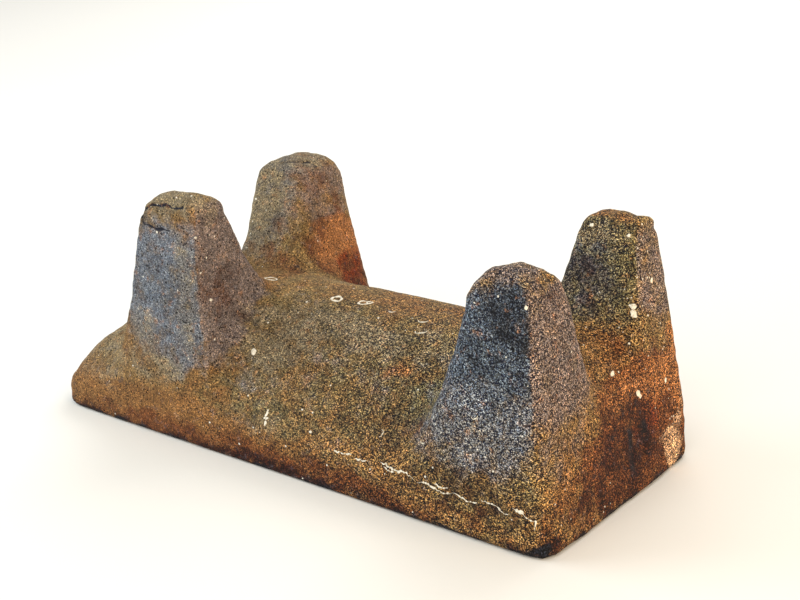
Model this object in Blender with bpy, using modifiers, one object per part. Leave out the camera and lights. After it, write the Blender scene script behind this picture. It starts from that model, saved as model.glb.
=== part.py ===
"""A grinding stone cut from one block: a thick slab with a rounded belly, on four stub legs.

It lies on its flat grinding face with its legs up, so the grinding face is at Z = 0.
X runs along the slab. The blunt nose that overhangs the legs is at -X, and the legs at +X are flush
with the end. Y runs across, with the front at -Y.
"""

import math

import bmesh
import bpy

MM = 0.001

# Whole stone
STONE_LENGTH = 343 * MM
STONE_WIDTH = 153 * MM

# Slab: its rounded belly, its upright edges, and the easing round the grinding face
BELLY_HEIGHT = 81 * MM
BELLY_CROWN = 1.5 * MM
HAUNCH_HEIGHT = 62 * MM
EDGE_WALL_HEIGHT = 26 * MM
EDGE_WALL_LEAN = 2 * MM
GRINDING_EASING = 3 * MM
GRINDING_EDGE_CREASE = 0.9

# End at +X, flush with its legs: how far its front corner bows back, and the dip between its legs
END_BOW = 3 * MM
END_SADDLE_DROP = 11 * MM
END_CORNER_CREASE = 0.35

# Blunt nose that overhangs the left legs: heights from its tip back to the legs, and how it tucks in
NOSE_TIP_HEIGHT = 20 * MM
NOSE_LIP_HEIGHT = 44 * MM
NOSE_SHOULDER_HEIGHT = 54 * MM
NOSE_ROOT_HEIGHT = 66 * MM
NOSE_TIP_EDGE_HEIGHT = 12 * MM
NOSE_LIP_EDGE_HEIGHT = 21 * MM
NOSE_FULLNESS = 1.6 * MM
NOSE_UNDERCUT = 4 * MM
NOSE_CORNER_EASING = 5 * MM

# Legs: height at which their roots spread into the slab, and how far
LEG_ROOT_HEIGHT = 90 * MM
LEG_ROOT_SPREAD = 6 * MM

# Each leg's sizes, with angles in degrees. An inset is from the stone's end or side to the leg's face at
# its top. A lean is how far a face leans off plumb, outward going down: the end face, the face toward the
# belly, the face on the stone's side, and the face toward the channel between the front and back legs.
LEGS = {
    "left_front": {
        "end": -1,
        "side": -1,
        "height": 142 * MM,
        "end_inset": 79 * MM,
        "length": 39 * MM,
        "side_inset": 4 * MM,
        "width": 20 * MM,
        "end_lean": 12.5,
        "belly_lean": 1,
        "side_lean": 2,
        "channel_lean": 28,
        "rounding": 9 * MM,
        "crease": 0.4,
    },
    "left_back": {
        "end": -1,
        "side": 1,
        "height": 137 * MM,
        "end_inset": 71 * MM,
        "length": 33 * MM,
        "side_inset": 4 * MM,
        "width": 41 * MM,
        "end_lean": 1,
        "belly_lean": 14,
        "side_lean": 2,
        "channel_lean": 17,
        "rounding": 7 * MM,
        "crease": 0.3,
    },
    "right_front": {
        "end": 1,
        "side": -1,
        "height": 138 * MM,
        "end_inset": 21 * MM,
        "length": 31 * MM,
        "side_inset": 4 * MM,
        "width": 39 * MM,
        "end_lean": 7.5,
        "belly_lean": 15,
        "side_lean": 2,
        "channel_lean": 15,
        "rounding": 11 * MM,
        "crease": 0.2,
    },
    "right_back": {
        "end": 1,
        "side": 1,
        "height": 136 * MM,
        "end_inset": 27 * MM,
        "length": 33 * MM,
        "side_inset": 4 * MM,
        "width": 23 * MM,
        "end_lean": 13.2,
        "belly_lean": 9,
        "side_lean": 2,
        "channel_lean": 17,
        "rounding": 6 * MM,
        "crease": 0.3,
    },
}

STONE_COLOUR = (0.23, 0.17, 0.10, 1.0)
STONE_ROUGHNESS = 0.85
SUBDIVISIONS = 2

# Columns of the cage along X. The nose and belly columns are at these shares of their stretch.
NOSE_COLUMN_SHARES = (0.0, 0.25, 0.58)
BELLY_COLUMN_SHARES = (0.22, 0.5, 0.78)
LEFT_LEG_COLUMNS = (3, 4, 5)
BELLY_COLUMNS = (6, 7, 8)
RIGHT_LEG_COLUMNS = (9, 10, 11)
LAST_COLUMN = 11

# Rows of the cage along Y. Counted in from either side, they are at these shares of the half width.
ROW_SHARES = (1.0, 0.66, 0.30, 0.0)
FRONT_LEG_ROWS = (0, 1, 2)
MIDDLE_ROW = 3
BACK_LEG_ROWS = (4, 5, 6)
LAST_ROW = 6

# How much of the nose's crown, and of the end's bow, each row has
NOSE_CROWN_SHARES = (0.0, 0.72, 0.95, 1.0)
END_BOW_SHARES = (1.0, 0.4, 0.1, 0.0, 0.0, 0.0, 0.0)

# Rings of the walls, as shares of the rim's height, and of a leg's top, as shares of its rounding
WALL_MIDDLE_SHARE = 0.55
TOP_RING_DROP = 0.2
TOP_RING_INSET = 0.6
TOP_CENTRE_RISE = 0.45


def clear_scene():
    """Removes whatever the scene holds."""
    for obj in list(bpy.data.objects):
        bpy.data.objects.remove(obj)


def mix(a, b, share):
    return a + (b - a) * share


def spread(leg, lean, z):
    """How far out a leaning face is at height z, from its place at the leg's top."""
    return (leg["height"] - z) * math.tan(math.radians(leg[lean]))


def leg_point(leg, toward_end, toward_side, z, inset=0.0):
    """X and Y of a leg's ring at height z: 1 is its outer face, 0 is midway, -1 is its inner face."""
    x_top = STONE_LENGTH / 2 - leg["end_inset"]
    y_top = STONE_WIDTH / 2 - leg["side_inset"]
    x_outer = x_top + spread(leg, "end_lean", z) - inset
    x_inner = x_top - leg["length"] - spread(leg, "belly_lean", z) + inset
    y_outer = y_top + spread(leg, "side_lean", z) - inset
    y_inner = y_top - leg["width"] - spread(leg, "channel_lean", z) + inset
    x = mix(x_inner, x_outer, (1 + toward_end) / 2)
    y = mix(y_inner, y_outer, (1 + toward_side) / 2)
    return leg["end"] * x, leg["side"] * y


def leg_columns(leg):
    return LEFT_LEG_COLUMNS if leg["end"] < 0 else RIGHT_LEG_COLUMNS


def leg_rows(leg):
    return FRONT_LEG_ROWS if leg["side"] < 0 else BACK_LEG_ROWS


def leg_at(column, row):
    """Leg that rises from this crossing of the cage, with its place in the leg's ring, or None."""
    for leg in LEGS.values():
        columns, rows = leg_columns(leg), leg_rows(leg)
        if column in columns and row in rows:
            return leg, leg["end"] * (column - columns[1]), leg["side"] * (row - rows[1])
    return None


def slab_height(column, row):
    """Height of the slab's rounded back at a crossing of the cage."""
    from_side = min(row, LAST_ROW - row)
    crest = BELLY_HEIGHT + BELLY_CROWN / 3
    belly = (EDGE_WALL_HEIGHT, HAUNCH_HEIGHT, crest - BELLY_CROWN, crest)[from_side]
    if column < LEFT_LEG_COLUMNS[0]:
        edge = (NOSE_TIP_EDGE_HEIGHT, NOSE_LIP_EDGE_HEIGHT, EDGE_WALL_HEIGHT)[column]
        crown = (NOSE_TIP_HEIGHT, NOSE_LIP_HEIGHT, NOSE_SHOULDER_HEIGHT)[column]
        return mix(edge, crown, NOSE_CROWN_SHARES[from_side])
    if column == LEFT_LEG_COLUMNS[0]:
        return min(belly, NOSE_ROOT_HEIGHT)
    if column == LAST_COLUMN and from_side:
        return belly - END_SADDLE_DROP
    return belly


def root_x(end, toward_end, z):
    """X midway between the roots of the two legs at one end of the stone, at height z."""
    places = [leg_point(leg, toward_end, 0, z)[0] for leg in LEGS.values() if leg["end"] == end]
    return sum(places) / len(places)


def slab_x(column):
    """X of a column of the cage, away from the legs."""
    left_outer = root_x(-1, 1, BELLY_HEIGHT) - LEG_ROOT_SPREAD
    left_inner = root_x(-1, -1, BELLY_HEIGHT) + LEG_ROOT_SPREAD
    right_inner = root_x(1, -1, BELLY_HEIGHT) - LEG_ROOT_SPREAD
    right_outer = root_x(1, 1, BELLY_HEIGHT - END_SADDLE_DROP)
    if column < LEFT_LEG_COLUMNS[0]:
        return mix(-STONE_LENGTH / 2, left_outer, NOSE_COLUMN_SHARES[column])
    if column in LEFT_LEG_COLUMNS:
        return mix(left_outer, left_inner, (column - LEFT_LEG_COLUMNS[0]) / 2)
    if column in BELLY_COLUMNS:
        return mix(left_inner, right_inner, BELLY_COLUMN_SHARES[column - BELLY_COLUMNS[0]])
    return mix(right_inner, right_outer, (column - RIGHT_LEG_COLUMNS[0]) / 2)


def slab_y(row):
    """Y of a row of the cage, away from the legs."""
    half = STONE_WIDTH / 2 - EDGE_WALL_LEAN
    return math.copysign(half * ROW_SHARES[min(row, LAST_ROW - row)], row - MIDDLE_ROW)


def cage_point(column, row):
    """Crossing of the cage over the slab, before the legs are drawn up out of it."""
    x, y, z = slab_x(column), slab_y(row), slab_height(column, row)
    found = leg_at(column, row)
    if found:
        leg, toward_end, toward_side = found
        x, y = leg_point(leg, toward_end, toward_side, z)
        if column != LAST_COLUMN:
            x += leg["end"] * toward_end * LEG_ROOT_SPREAD
        if toward_side < 0:
            y -= leg["side"] * LEG_ROOT_SPREAD
    if column == 0:
        x -= NOSE_FULLNESS
    if column == 0 and row in (0, LAST_ROW):
        x += NOSE_CORNER_EASING
        y -= math.copysign(NOSE_CORNER_EASING, y)
    return x, y, z


def outline_point(column, row):
    """Point of the grinding face's outline below an outer crossing of the cage."""
    x, y, _ = cage_point(column, row)
    if row in (0, LAST_ROW):
        y = math.copysign(STONE_WIDTH / 2, y)
    if column == LAST_COLUMN:
        x = STONE_LENGTH / 2 - END_BOW * END_BOW_SHARES[row]
    if column == 0:
        x += NOSE_UNDERCUT
    if column == 0 and row in (0, LAST_ROW):
        y -= math.copysign(NOSE_CORNER_EASING, y)
    return x, y


def crease_upright(vert, marks, crease, sharpness):
    """Sharpens the edges that run up or down from a corner of the cage."""
    for edge in vert.link_edges:
        if all(edge.other_vert(vert)[mark] == vert[mark] for mark in marks):
            edge[crease] = sharpness


def add_walls(bm, marks, crease):
    """Drops the slab's rim to the grinding face in steps, then closes that face."""
    rim = [edge for edge in bm.edges if edge.is_boundary]
    for share, lowest in ((WALL_MIDDLE_SHARE, 0.0), (0.0, GRINDING_EASING), (0.0, 0.0)):
        made = bmesh.ops.extrude_edge_only(bm, edges=rim)["geom"]
        rim = [item for item in made if isinstance(item, bmesh.types.BMEdge) and item.is_boundary]
        for vert in {vert for edge in rim for vert in edge.verts}:
            column, row = (vert[mark] for mark in marks)
            x_top, y_top, z_top = cage_point(column, row)
            x_low, y_low = outline_point(column, row)
            z = max(share * z_top, lowest)
            vert.co = (mix(x_low, x_top, z / z_top), mix(y_low, y_top, z / z_top), z)
            if column == LAST_COLUMN and row in (0, LAST_ROW):
                crease_upright(vert, marks, crease, END_CORNER_CREASE)
    for edge in rim:
        edge[crease] = GRINDING_EDGE_CREASE
    bmesh.ops.contextual_create(bm, geom=rim)


def root_faces(bm, leg, marks):
    """Faces of the slab's grid that a leg rises from."""
    columns, rows = leg_columns(leg), leg_rows(leg)
    return [
        face
        for face in bm.faces
        if all(vert[marks[0]] in columns and vert[marks[1]] in rows for vert in face.verts)
    ]


def leg_rings(leg):
    """Height, inset and rise at the centre of each ring of a leg: root, waist, shoulder and top."""
    shoulder = leg["height"] - leg["rounding"]
    top = leg["height"] - TOP_RING_DROP * leg["rounding"]
    return (
        (LEG_ROOT_HEIGHT, 0.0, 0.0),
        (mix(LEG_ROOT_HEIGHT, shoulder, 0.5), 0.0, 0.0),
        (shoulder, 0.0, 0.0),
        (top, TOP_RING_INSET * leg["rounding"], TOP_CENTRE_RISE * leg["rounding"]),
    )


def draw_leg(bm, leg, faces, marks, crease):
    """Draws a leg up out of the slab, ring by ring, from the faces at its root."""
    for z, inset, rise in leg_rings(leg):
        made = bmesh.ops.extrude_face_region(bm, geom=faces)["geom"]
        bmesh.ops.delete(bm, geom=faces, context="FACES")
        faces = [item for item in made if isinstance(item, bmesh.types.BMFace)]
        for vert in {vert for face in faces for vert in face.verts}:
            column, row = (vert[mark] for mark in marks)
            _, toward_end, toward_side = leg_at(column, row)
            x, y = leg_point(leg, toward_end, toward_side, z, inset)
            centre = not toward_end and not toward_side
            vert.co = (x, y, z + rise if centre else z)
            if toward_end and toward_side:
                at_stone_corner = column == LAST_COLUMN and toward_side > 0
                sharpness = END_CORNER_CREASE if at_stone_corner else leg["crease"]
                crease_upright(vert, marks, crease, sharpness)


def build_cage():
    """Cage of the whole stone: a grid over the slab, with its walls and legs drawn out of that grid."""
    bm = bmesh.new()
    marks = bm.verts.layers.int.new("column"), bm.verts.layers.int.new("row")
    crease = bm.edges.layers.float.new("crease_edge")
    bmesh.ops.create_grid(bm, x_segments=LAST_COLUMN, y_segments=LAST_ROW, size=0.5)
    for vert in bm.verts:
        column = round((vert.co.x + 0.5) * LAST_COLUMN)
        row = round((vert.co.y + 0.5) * LAST_ROW)
        vert[marks[0]] = column
        vert[marks[1]] = row
        vert.co = cage_point(column, row)
    roots = [(leg, root_faces(bm, leg, marks)) for leg in LEGS.values()]
    add_walls(bm, marks, crease)
    for leg, faces in roots:
        draw_leg(bm, leg, faces, marks, crease)
    bmesh.ops.recalc_face_normals(bm, faces=bm.faces)
    return bm


def stone_material():
    """Weathered granite: rough and dull, with no metal in it."""
    material = bpy.data.materials.new("weathered_granite")
    material.use_nodes = True
    shader = material.node_tree.nodes["Principled BSDF"]
    shader.inputs["Base Color"].default_value = STONE_COLOUR
    shader.inputs["Roughness"].default_value = STONE_ROUGHNESS
    shader.inputs["Metallic"].default_value = 0.0
    return material


def grinding_stone(collection):
    """The whole stone, as one solid: the cage, worn smooth."""
    bm = build_cage()
    mesh = bpy.data.meshes.new("grinding_stone")
    bm.to_mesh(mesh)
    bm.free()
    mesh.materials.append(stone_material())
    mesh.shade_smooth()
    stone = bpy.data.objects.new("grinding_stone", mesh)
    collection.objects.link(stone)
    worn = stone.modifiers.new("worn_form", "SUBSURF")
    worn.levels = SUBDIVISIONS
    worn.render_levels = SUBDIVISIONS


def main():
    clear_scene()
    collection = bpy.data.collections.new("grinding_stone")
    bpy.context.scene.collection.children.link(collection)
    grinding_stone(collection)


main()
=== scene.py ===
"""Dresses the footed grinding stone: pecked granite skin, patina with some painted shade and highlight, lime
crust and a plain studio.
"""

import itertools
import math

import bmesh
import bpy
import numpy as np
from mathutils import Matrix
from mathutils import Vector


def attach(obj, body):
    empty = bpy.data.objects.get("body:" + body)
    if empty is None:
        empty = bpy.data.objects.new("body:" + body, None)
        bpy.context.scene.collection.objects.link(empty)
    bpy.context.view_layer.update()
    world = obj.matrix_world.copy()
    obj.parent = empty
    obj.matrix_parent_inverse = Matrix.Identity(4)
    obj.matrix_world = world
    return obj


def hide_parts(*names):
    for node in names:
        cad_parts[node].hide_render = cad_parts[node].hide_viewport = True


bl_info = {
    "name": "Footed grinding stone",
    "version": (1, 0, 0),
    "blender": (4, 5, 0),
    "location": "3D View > Sidebar > Grinding Stone",
    "description": "Weathered granite skin, stains and lime crust for a footed grinding stone",
    "category": "Add Mesh",
}

MM = 0.001
NODE = "grinding_stone"
BODY = "root"
SKIN = "grinding_stone_skin"

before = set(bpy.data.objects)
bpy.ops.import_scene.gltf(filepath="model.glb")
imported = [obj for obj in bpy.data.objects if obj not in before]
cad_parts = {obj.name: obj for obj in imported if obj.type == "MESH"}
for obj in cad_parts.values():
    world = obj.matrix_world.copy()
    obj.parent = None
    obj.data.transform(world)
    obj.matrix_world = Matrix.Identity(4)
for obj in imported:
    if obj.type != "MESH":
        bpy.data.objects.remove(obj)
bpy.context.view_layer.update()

# Wavelengths of the carved surface: slow swells, the marks of dressing in two sizes, and pecked pits.
SWELL_WAVE = 34 * MM
DRESS_WAVE = 6.5 * MM
FINE_DRESS_WAVE = 3.6 * MM
PIT_PITCH = 8 * MM

# Widths of the patterns in the granite's colour, from slow clouds to white specks, and in lime and card.
CLOUD_WIDTH = 33.33 * MM
BLOTCH_WIDTH = 11.11 * MM
MOTTLE_WIDTH = 4.762 * MM
SPECK_PITCH = 2.3256 * MM
LIME_MOTTLE_WIDTH = 1.1111 * MM
CARD_TOOTH_WIDTH = 2.5 * MM

# How far the limits of the stains wander: wavelength and reach.
SLOW_DRIFT = (30 * MM, 7 * MM)
QUICK_DRIFT = (10 * MM, 3 * MM)

# Heights in mm between which the worn leg tops grow rougher, and how much rougher they get.
WORN_TOP = (116.0, 134.0)
TOP_ROUGHNESS = 0.9
CRACK_DEPTH = 0.5 * MM

# Faces of the tubes and cakes of lime: round a tube, along a ring, and round and down a spot.
TUBE_SIDES = 10
RING_STEPS = 48
SPOT_SIDES = 28
SPOT_ROWS = 9

# The way a face looks, with the range of alignment over which a stain on it fades in.
FRONT = ((0.0, -1.0, 0.0), 0.05, 0.75)
BACK = ((0.0, 1.0, 0.0), 0.05, 0.75)
FLUSH_END = ((1.0, 0.0, 0.0), 0.35, 0.9)
UP = ((0.0, 0.0, 1.0), 0.4, 0.8)
ANY_WAY = None

# Patches of patina, in mm: centre, half-strength radii, the way the stained face looks, strength. Some
# patches are painted light rather than patina: painted shade along the bottom edge, in the leg roots' creases
# and on leg faces turned from the lamps, and a painted highlight on the flush end.
PATINA_AND_PAINTED_LIGHT = {
    "ochre": [
        ((10, -60, 46), (120, 50, 40), ANY_WAY, 0.52),
        ((-60, -76, 8), (130, 20, 24), FRONT, 1.0),
        ((-150, -50, 8), (42, 70, 24), ANY_WAY, 1.0),
        ((90, -76, 8), (90, 20, 14), FRONT, 0.5),
        ((20, -60, 45), (30, 14, 12), ANY_WAY, 0.4),
        ((84, -62, 44), (18, 10, 10), ANY_WAY, 0.45),
        ((10, 2, 82), (90, 16, 9), UP, 0.4),
        ((-20, 76, 10), (150, 20, 22), BACK, 0.8),
    ],
    "dull_olive": [
        ((20, -40, 55), (120, 60, 40), ANY_WAY, 0.5),
        ((0, -74, 32), (50, 16, 12), FRONT, 0.6),
        ((98, -62, 62), (12, 16, 20), ANY_WAY, 0.8),
        ((88, -56, 52), (18, 14, 14), ANY_WAY, 0.9),
        ((126, 48, 108), (34, 30, 34), FRONT, 0.9),
        ((-102, 34, 116), (16, 26, 36), ANY_WAY, 0.55),
        ((60, 60, 50), (70, 30, 30), ANY_WAY, 0.5),
        ((-92, 76, 60), (40, 20, 26), BACK, 0.5),
        ((120, -76, 30), (50, 20, 16), FRONT, 0.45),
        ((40, -76, 12), (40, 20, 12), FRONT, 0.4),
    ],
    # Blue grey is partly the granite's own colour and partly painted light: the paler, cooler tint of the leg
    # fronts turned to the cool left lamp.
    "blue_grey": [
        ((10, -40, 60), (110, 50, 30), ANY_WAY, 0.2),
        ((-76, -76, 93), (50, 30, 44), FRONT, 0.8),
        ((-66, -76, 54), (12, 14, 16), FRONT, 0.7),
        ((-80, -62, 140), (22, 14, 10), UP, 0.25),
        ((116, -76, 66), (46, 30, 30), FRONT, 0.75),
        ((-98, 26, 112), (13, 24, 34), FRONT, 0.4),
        ((-96, 32, 112), (28, 30, 46), ANY_WAY, 0.95),
        ((-84, 48, 138), (20, 26, 8), ANY_WAY, 0.6),
        ((14, -42, 68), (22, 9, 8), ANY_WAY, 0.35),
        ((76, -40, 66), (16, 8, 8), ANY_WAY, 0.35),
        ((-30, -58, 52), (14, 12, 16), ANY_WAY, 0.35),
        ((-84, 70, 104), (24, 20, 30), ANY_WAY, 0.3),
        ((-20, 66, 40), (60, 20, 24), BACK, 0.2),
        ((128, 70, 100), (24, 20, 30), ANY_WAY, 0.35),
        ((118, 48, 100), (30, 30, 34), FRONT, 0.2),
    ],
    # Slate is partly dark granite and partly painted shade: it darkens the fronts of the right legs, turned
    # away from the left lamp, and the crease at the left front leg's root.
    "slate": [
        ((134, -68, 106), (46, 36, 30), FRONT, 1.0),
        ((-78, -76, 92), (22, 16, 18), FRONT, 0.35),
        ((150, -68, 98), (5, 7, 6), ANY_WAY, 0.55),
        ((155, -71, 76), (5, 6, 6), ANY_WAY, 0.5),
        ((126, -60, 134), (20, 18, 10), ANY_WAY, 0.45),
        ((120, 48, 102), (24, 30, 24), FRONT, 0.48),
        ((-46, -42, 72), (6, 12, 13), ANY_WAY, 0.35),
    ],
    # Purple brown is partly the legs' own colour and partly painted light: painted shade on the left front
    # leg's end-facing face, and the warm lit tint of the right legs' end faces turned to the warm right lamp.
    "purple_brown": [
        ((-50, -56, 106), (32, 40, 52), FLUSH_END, 1.0),
        ((156, -54, 104), (32, 40, 44), FLUSH_END, 0.85),
        ((158, -58, 62), (24, 30, 24), FLUSH_END, 0.45),
        ((147, -72, 86), (6, 7, 7), ANY_WAY, 0.5),
        ((143, -68, 116), (5, 7, 6), ANY_WAY, 0.5),
        ((136, -50, 138), (26, 28, 9), ANY_WAY, 0.55),
        ((-60, 52, 120), (22, 30, 24), ANY_WAY, 0.6),
        ((150, 60, 114), (20, 28, 32), FLUSH_END, 0.7),
    ],
    "pale_silt": [
        ((-138, -34, 40), (40, 80, 24), ANY_WAY, 0.52),
        ((-88, -76, 44), (30, 20, 13), FRONT, 0.6),
        ((-14, -76, 28), (24, 14, 12), FRONT, 0.4),
        ((-20, -46, 62), (22, 22, 20), ANY_WAY, 0.75),
        ((66, -30, 72), (30, 14, 12), ANY_WAY, 0.5),
        ((-95, 32, 110), (26, 34, 44), ANY_WAY, 0.8),
        ((-76, -58, 138), (26, 18, 9), ANY_WAY, 0.75),
        ((-60, -76, 96), (8, 14, 42), ANY_WAY, 0.45),
        ((-92, -76, 60), (14, 12, 14), FRONT, 0.5),
        ((118, -76, 54), (28, 16, 12), FRONT, 0.3),
        ((10, -34, 70), (70, 18, 12), ANY_WAY, 0.65),
        ((-84, 48, 138), (22, 28, 9), ANY_WAY, 0.75),
        ((120, 46, 126), (16, 20, 10), FRONT, 0.6),
        ((-130, 40, 30), (30, 30, 20), ANY_WAY, 0.35),
        ((20, 60, 56), (90, 24, 20), BACK, 0.5),
    ],
    "rust_brown": [
        ((168, 26, 26), (24, 70, 36), FLUSH_END, 1.0),
        ((168, -50, 10), (24, 40, 24), FLUSH_END, 0.55),
        ((160, 20, 60), (20, 44, 20), FLUSH_END, 0.75),
        ((-76, 24, 84), (34, 22, 12), ANY_WAY, 0.5),
        ((-58, 50, 86), (26, 34, 22), ANY_WAY, 0.75),
        ((-48, -56, 90), (14, 14, 16), FLUSH_END, 0.45),
        ((158, 52, 80), (14, 20, 16), ANY_WAY, 0.25),
        ((-68, 44, 110), (16, 30, 34), ANY_WAY, 0.35),
        ((130, 40, 72), (26, 26, 14), ANY_WAY, 0.75),
        ((-20, -76, 3), (130, 20, 13), FRONT, 0.8),
        ((110, -76, 6), (60, 20, 12), FRONT, 0.35),
    ],
    # Rust orange is partly iron stain and partly a painted highlight: the bright orange near the back right
    # edge of the flush end, where the warm light catches.
    "rust_orange": [
        ((164, 68, 54), (18, 14, 32), FLUSH_END, 0.8),
        ((164, 44, 56), (12, 18, 16), FLUSH_END, 0.7),
        ((160, 10, 62), (12, 26, 12), ANY_WAY, 0.5),
        ((59, -48, 59), (8, 6, 5), ANY_WAY, 0.8),
        ((-54, 54, 82), (16, 24, 20), ANY_WAY, 0.75),
        ((150, -71, 118), (4, 5, 8), ANY_WAY, 0.7),
    ],
    "rust_red": [
        ((-48, 56, 64), (15, 24, 15), ANY_WAY, 0.66),
        ((168, 40, 44), (10, 10, 8), FLUSH_END, 0.3),
        ((167, 30, 36), (10, 18, 14), FLUSH_END, 0.5),
        ((60, -48, 58), (4, 4, 3), ANY_WAY, 0.5),
    ],
    # Umber is dirt on the flush end and painted shade elsewhere: a band along the bottom edge where the stone
    # meets the floor, and dark patches in the creases at the leg roots and in hollows.
    "umber": [
        ((168, 6, 14), (14, 60, 20), FLUSH_END, 0.55),
        ((168, 22, 34), (14, 22, 24), FLUSH_END, 0.6),
        ((60, -76, 2), (110, 20, 8), FRONT, 0.3),
        ((152, -56, 128), (14, 26, 16), ANY_WAY, 0.3),
        ((118, -76, 25), (44, 20, 13), FRONT, 0.52),
        ((78, -64, 44), (18, 14, 12), ANY_WAY, 0.36),
        ((164, 0, 50), (14, 30, 14), FLUSH_END, 0.38),
        ((168, 16, 24), (12, 14, 15), FLUSH_END, 0.85),
        ((168, 33, 32), (10, 7, 11), FLUSH_END, 0.8),
        ((168, -8, 30), (10, 12, 12), FLUSH_END, 0.7),
        ((163, -73, 4), (8, 7, 5), ANY_WAY, 0.8),
        ((-15, -76, 0), (70, 20, 9), FRONT, 0.85),
        ((150, -76, 2), (30, 20, 8), FRONT, 0.4),
        ((-150, -60, 0), (40, 40, 5), ANY_WAY, 0.6),
        ((-46, -41, 72), (4, 6, 8), ANY_WAY, 0.4),
        ((-46, -54, 88), (14, 16, 22), FLUSH_END, 0.42),
        ((-46, 56, 62), (10, 24, 14), ANY_WAY, 0.45),
        ((124, 46, 94), (22, 24, 20), FRONT, 0.42),
    ],
    # The black film is partly a near-black film on the flush end and partly painted shade: along the bottom
    # edge, on the right front leg's front face, and under the flake step at the left front leg's top.
    "black_film_and_shade": [
        ((163, -75, 3), (8, 5, 5), ANY_WAY, 0.8),
        ((168, 13, 25), (10, 5, 13), FLUSH_END, 0.6),
        ((168, 22, 18), (10, 5, 8), FLUSH_END, 0.4),
        ((168, 31, 31), (10, 4, 10), FLUSH_END, 0.62),
        ((140, -68, 118), (16, 20, 16), FRONT, 0.6),
        ((136, -70, 98), (20, 20, 16), FRONT, 0.4),
        ((-98, -66, 128), (7, 12, 6), ANY_WAY, 0.5),
        ((20, -76, 0), (120, 20, 5), FRONT, 0.35),
    ],
    "cream_scale": [
        ((170, 60, 11), (8, 10, 8), FLUSH_END, 1.0),
        ((170, 52, 18), (8, 8, 6), FLUSH_END, 0.7),
        ((170, 64, 23), (8, 6, 8), FLUSH_END, 0.6),
        ((168, 70, 38), (8, 4, 8), ANY_WAY, 0.5),
    ],
}

# Bands of painted contact shade that run all round the bottom edge, where the stone meets the floor: how far
# up they reach in mm, and their strength.
EDGE_SHADE_BANDS = {"umber": (8.0, 0.6), "black_film_and_shade": (3.2, 0.85)}

# Patches where fine white specks of lime lie thick, in the same form as the patina.
SPECKLED = [
    ((150, 42, 86), (18, 20, 42), ANY_WAY, 0.95),
    ((168, 52, 28), (12, 18, 24), FLUSH_END, 1.0),
    ((168, -20, 8), (10, 34, 8), FLUSH_END, 0.7),
    ((166, 14, 40), (10, 34, 26), FLUSH_END, 0.6),
    ((-2, -74, 22), (40, 12, 12), FRONT, 0.5),
    ((60, -74, 20), (70, 12, 10), FRONT, 0.5),
    ((8, -20, 76), (90, 24, 12), ANY_WAY, 0.4),
    ((130, -74, 78), (30, 20, 50), ANY_WAY, 0.3),
    ((-80, -74, 100), (30, 20, 40), ANY_WAY, 0.35),
]

# Hollows and bosses that the carving left, in mm: centre, half-depth radii, depth (a boss is negative).
HOLLOWS = [
    ((-47, -41, 73), (6, 10, 9), 2.2),
    ((59, -48, 59), (7, 6, 5), 1.0),
    ((168, 19, 24), (8, 10, 9), 0.9),
    ((-106, -76, 66), (12, 20, 22), 1.2),
    ((-58, -60, 136), (12, 14, 7), -1.2),
    ((120, -62, 128), (10, 16, 10), -1.1),
    ((-156, -60, 36), (14, 16, 10), -1.2),
    ((146, 62, 134), (7, 9, 6), -1.4),
]

# Cracks: the two axes that a path lies in, the place on the third, and the path, all in mm.
CRACKS = [
    ((0, 2), -72,
     ((-93, 130), (-88.4, 133.7), (-81.6, 134.2), (-77.8, 135.6), (-72.1, 134.4), (-63.4, 136.2))),
    ((0, 2), -73,
     ((-94, 128), (-93.2, 126.7), (-92.1, 123.6), (-87.3, 123.1), (-82.2, 122.1), (-73.1, 122.5))),
    ((0, 1), 136,
     ((-86, 38), (-81.3, 42.5), (-77.1, 44.7), (-75.1, 49.9), (-70.3, 51.4))),
]

# Ellipsoids round the cracks, where the skin has finer faces, in mm: centre, radii.
CRACKED_TOPS = [
    ((-80, -72, 130), (22, 12, 16)),
    ((-78, 46, 136), (14, 14, 8)),
]

# White strands left along the front wall, in mm: points along the wall and up it, and width.
STRANDS = [
    (((38, 23.6), (44, 23.2), (50, 23.4)), 0.7),
    (((52, 22.6), (57, 22.9), (62, 23.4)), 0.8),
    (((68, 25.2), (74, 24.4), (80, 23.6), (86, 24.0), (92, 22.4)), 0.75),
    (((93, 22.0), (100, 22.8), (108, 21.2), (116, 22.2), (123, 20.6), (129, 20.9)), 0.85),
    (((131, 23.8), (137, 23.4), (142, 21.2), (147, 20.4)), 0.85),
    (((149, 24.6), (154, 23.2), (158, 21.4), (161, 19.6), (160.6, 15.8)), 1.1),
    (((71, 23.2), (74, 22.4), (78, 22.8)), 0.8),
    (((104, 23.8), (108, 23.4), (112, 24.0)), 0.7),
]

# Rings and arcs left by worm tubes, in mm: centre, ring radius, stretch, turn, arc from and to, width.
RINGS = [
    ((-5.5, -12.8, 80), 2.4, 1.2, 10, 0, 360, 1.7),
    ((11.4, -10.3, 80), 2.5, 1.3, 60, 20, 320, 1.3),
    ((13.8, -8.4, 80), 1.2, 1.3, 20, 0, 360, 0.9),
    ((-56.2, -9.3, 80), 2.0, 1.7, 35, 0, 360, 1.0),
    ((31.2, -11.5, 80), 1.5, 1.3, 0, 200, 380, 0.6),
    ((53.0, -13.5, 79), 1.9, 1.4, 20, 190, 370, 0.8),
    ((57.3, -21.4, 77), 2.0, 1.6, 15, 180, 350, 0.9),
    ((63.0, -66.2, 37), 1.6, 1.3, 80, 190, 360, 0.6),
    ((94.0, -72.2, 43), 1.2, 1.5, 10, 190, 350, 0.6),
    ((125.4, -76.0, 66), 1.5, 1.4, 20, 200, 360, 0.7),
]

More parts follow.
